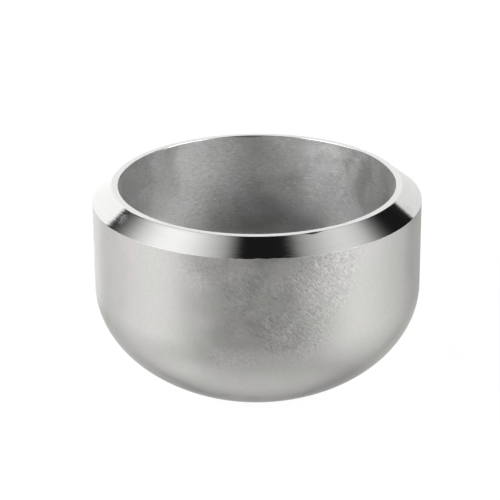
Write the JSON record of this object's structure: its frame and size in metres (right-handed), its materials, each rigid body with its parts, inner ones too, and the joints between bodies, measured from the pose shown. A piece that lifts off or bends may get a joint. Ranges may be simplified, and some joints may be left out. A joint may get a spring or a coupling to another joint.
{
  "type": "pipe cap",
  "caption": "Seamless butt-weld pipe cap: a deep domed end with a short straight skirt, a machined weld bevel and a narrow flat root face round the open end.",
  "frame": {"origin": "centre of the weld-end face, on the cap's axis", "axes": "+Z along the cap's axis, out of its open end towards the pipe; the dome points along -Z; X and Y are any two square directions, because the cap is round"},
  "size_m": [0.1142, 0.1142, 0.076],
  "materials": {
    "stainless_steel": "pickled and blasted, light grey; the weld bevel and root face are freshly machined and bright"
  },
  "bodies": {
    "root": {"pipe_cap": "stainless_steel"}
  },
  "joints": []
}
